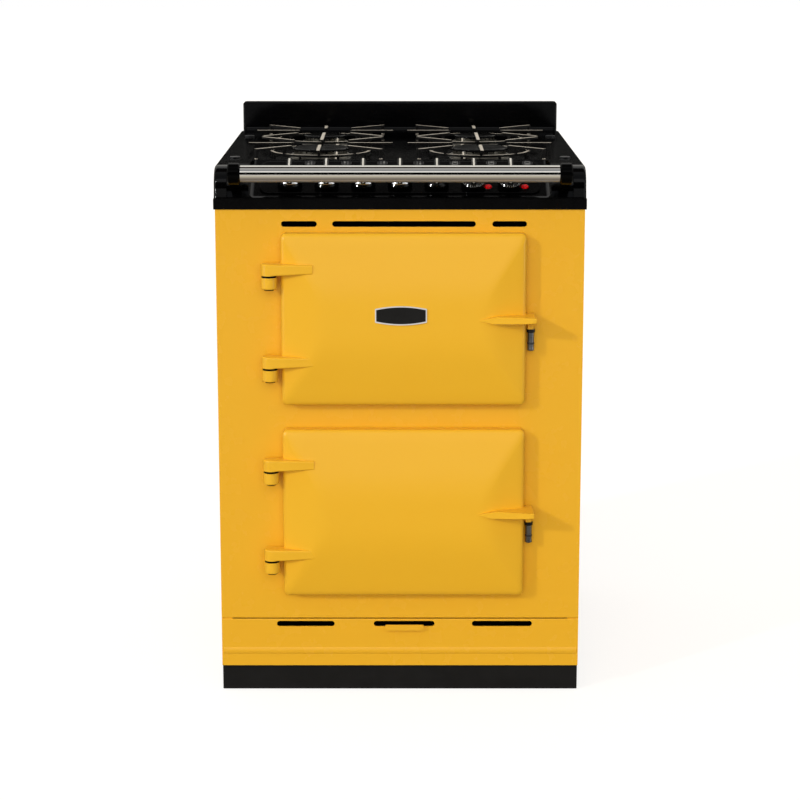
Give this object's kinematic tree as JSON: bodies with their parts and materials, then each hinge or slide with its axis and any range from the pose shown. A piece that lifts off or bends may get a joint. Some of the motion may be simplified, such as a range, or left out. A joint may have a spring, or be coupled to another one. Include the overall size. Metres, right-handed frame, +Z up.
{
  "type": "range cooker",
  "caption": "Free-standing enamelled range cooker with two side-hinged oven doors, a gas hob with pan supports, sloping knob panel and a front handrail.",
  "frame": {"origin": "on the floor, under the middle of the whole outline", "axes": "+X to the user's right, -Y out of the front towards the user, +Z up"},
  "size_m": [0.605, 0.702, 0.946],
  "materials": {
    "yellow_enamel": "gloss vitreous enamel on steel sheet",
    "yellow_cast_enamel": "gloss vitreous enamel on cast iron",
    "zinc_sheet": "zinc coated steel sheet",
    "black_paint": "satin black powder coat",
    "black_plastic": "moulded black plastic",
    "bright_steel": "zinc plated steel",
    "door_liner_steel": "dark vitreous enamel on steel",
    "seal_fibre": "woven heat-proof gasket",
    "latch_steel": "turned stainless steel",
    "oven_enamel": "flecked oven enamel",
    "shelf_wire": "bright plated wire",
    "badge_chrome": "bright rim",
    "badge_black": "gloss black plate, bare",
    "element_sheath": "oxidised alloy sheath",
    "fan_steel": "pressed steel",
    "motor_steel": "plated steel can",
    "black_enamel": "gloss black vitreous enamel",
    "disc_steel": "dark satin steel discs",
    "neon_lens": "red lamp lens",
    "tap_brass": "machined brass",
    "burner_alloy": "cast aluminium",
    "cap_enamel": "satin black enamel on steel",
    "electrode_ceramic": "glazed ceramic with metal tip",
    "satin_steel": "satin stainless steel",
    "rail_steel": "polished stainless steel tube",
    "bracket_black": "gloss black enamel",
    "knob_black": "moulded gloss black plastic"
  },
  "bodies": {
    "cooker": {"left_side_panel": "yellow_enamel", "right_side_panel": "yellow_enamel", "back_panel": "zinc_sheet", "base_tray": "zinc_sheet", "levelling_feet": "black_plastic", "plinth": "black_paint", "front_panel": "yellow_enamel", "lower_panel": "yellow_enamel", "door_catches": "bright_steel", "upper_door_seal": "seal_fibre", "upper_oven_liner": "oven_enamel", "upper_oven_shelf": "shelf_wire", "lower_door_seal": "seal_fibre", "lower_oven_liner": "oven_enamel", "lower_oven_shelf": "shelf_wire", "hinge_brackets": "yellow_cast_enamel", "hinge_pins": "black_paint", "shelf_racks": "shelf_wire", "grill_element": "element_sheath", "fan_cover": "oven_enamel", "fan_motor": "motor_steel", "fan_element": "element_sheath", "hob_top": "black_enamel", "control_fascia": "black_enamel", "symbol_discs": "disc_steel", "neon_lamps": "neon_lens", "gas_taps": "tap_brass", "oven_switches": "motor_steel", "gas_manifold": "bright_steel", "gas_inlet": "bright_steel", "burner_bases": "burner_alloy", "burner_crowns": "burner_alloy", "burner_caps": "cap_enamel", "spark_electrodes": "electrode_ceramic", "left_pan_support": "satin_steel", "right_pan_support": "satin_steel", "hob_fixing_caps": "bright_steel", "handrail": "rail_steel", "rail_brackets": "bracket_black", "terminal_box": "black_plastic"},
    "upper_door": {"upper_door": "yellow_cast_enamel", "upper_door_liner": "door_liner_steel", "upper_door_latch": "latch_steel", "badge_rim": "badge_chrome", "badge_plate": "badge_black"},
    "lower_door": {"lower_door": "yellow_cast_enamel", "lower_door_liner": "door_liner_steel", "lower_door_latch": "latch_steel"},
    "fan": {"fan_impeller": "fan_steel"},
    "tap_push_1": {"tap_spindle_1": "tap_brass"},
    "tap_push_2": {"tap_spindle_2": "tap_brass"},
    "tap_push_3": {"tap_spindle_3": "tap_brass"},
    "tap_push_4": {"tap_spindle_4": "tap_brass"},
    "hob_knob_1": {"hob_knob_1": "knob_black"},
    "hob_knob_2": {"hob_knob_2": "knob_black"},
    "hob_knob_3": {"hob_knob_3": "knob_black"},
    "hob_knob_4": {"hob_knob_4": "knob_black"},
    "grill_knob": {"grill_knob": "knob_black"},
    "upper_oven_knob": {"upper_oven_knob": "knob_black"},
    "lower_oven_knob": {"lower_oven_knob": "knob_black"}
  },
  "joints": [
    {"name": "upper_door_hinge", "type": "hinge", "parent": "cooker", "child": "upper_door", "pos_m": [-0.212, -0.3085, 0.64], "axis": [0, 0, -1], "range_deg": [0, 120]},
    {"name": "lower_door_hinge", "type": "hinge", "parent": "cooker", "child": "lower_door", "pos_m": [-0.212, -0.3085, 0.315], "axis": [0, 0, -1], "range_deg": [0, 120]},
    {"name": "tap_1_press", "type": "slide", "parent": "cooker", "child": "tap_push_1", "axis": [0, 0.4848, -0.8746], "range_m": [0, 0.003], "stiffness_N_per_m": 1500, "springref_m": -0.004},
    {"name": "hob_knob_1_turn", "type": "hinge", "parent": "tap_push_1", "child": "hob_knob_1", "pos_m": [-0.18, -0.2357, 0.8553], "axis": [0, -0.4848, 0.8746], "range_deg": [0, 210]},
    {"name": "tap_2_press", "type": "slide", "parent": "cooker", "child": "tap_push_2", "axis": [0, 0.4848, -0.8746], "range_m": [0, 0.003], "stiffness_N_per_m": 1500, "springref_m": -0.004},
    {"name": "hob_knob_2_turn", "type": "hinge", "parent": "tap_push_2", "child": "hob_knob_2", "pos_m": [-0.12, -0.2357, 0.8553], "axis": [0, -0.4848, 0.8746], "range_deg": [0, 210]},
    {"name": "tap_3_press", "type": "slide", "parent": "cooker", "child": "tap_push_3", "axis": [0, 0.4848, -0.8746], "range_m": [0, 0.003], "stiffness_N_per_m": 1500, "springref_m": -0.004},
    {"name": "hob_knob_3_turn", "type": "hinge", "parent": "tap_push_3", "child": "hob_knob_3", "pos_m": [-0.06, -0.2357, 0.8553], "axis": [0, -0.4848, 0.8746], "range_deg": [0, 210]},
    {"name": "tap_4_press", "type": "slide", "parent": "cooker", "child": "tap_push_4", "axis": [0, 0.4848, -0.8746], "range_m": [0, 0.003], "stiffness_N_per_m": 1500, "springref_m": -0.004},
    {"name": "hob_knob_4_turn", "type": "hinge", "parent": "tap_push_4", "child": "hob_knob_4", "pos_m": [0, -0.2357, 0.8553], "axis": [0, -0.4848, 0.8746], "range_deg": [0, 210]},
    {"name": "grill_knob_turn", "type": "hinge", "parent": "cooker", "child": "grill_knob", "pos_m": [0.06, -0.2357, 0.8553], "axis": [0, -0.4848, 0.8746], "range_deg": [-270, 0]},
    {"name": "upper_oven_knob_turn", "type": "hinge", "parent": "cooker", "child": "upper_oven_knob", "pos_m": [0.12, -0.2357, 0.8553], "axis": [0, -0.4848, 0.8746], "range_deg": [-270, 0]},
    {"name": "lower_oven_knob_turn", "type": "hinge", "parent": "cooker", "child": "lower_oven_knob", "pos_m": [0.18, -0.2357, 0.8553], "axis": [0, -0.4848, 0.8746], "range_deg": [-270, 0]},
    {"name": "fan_spin", "type": "hinge", "parent": "cooker", "child": "fan", "pos_m": [0.0058, 0.1133, 0.3185], "axis": [0, 1, 0], "continuous": true}
  ]
}
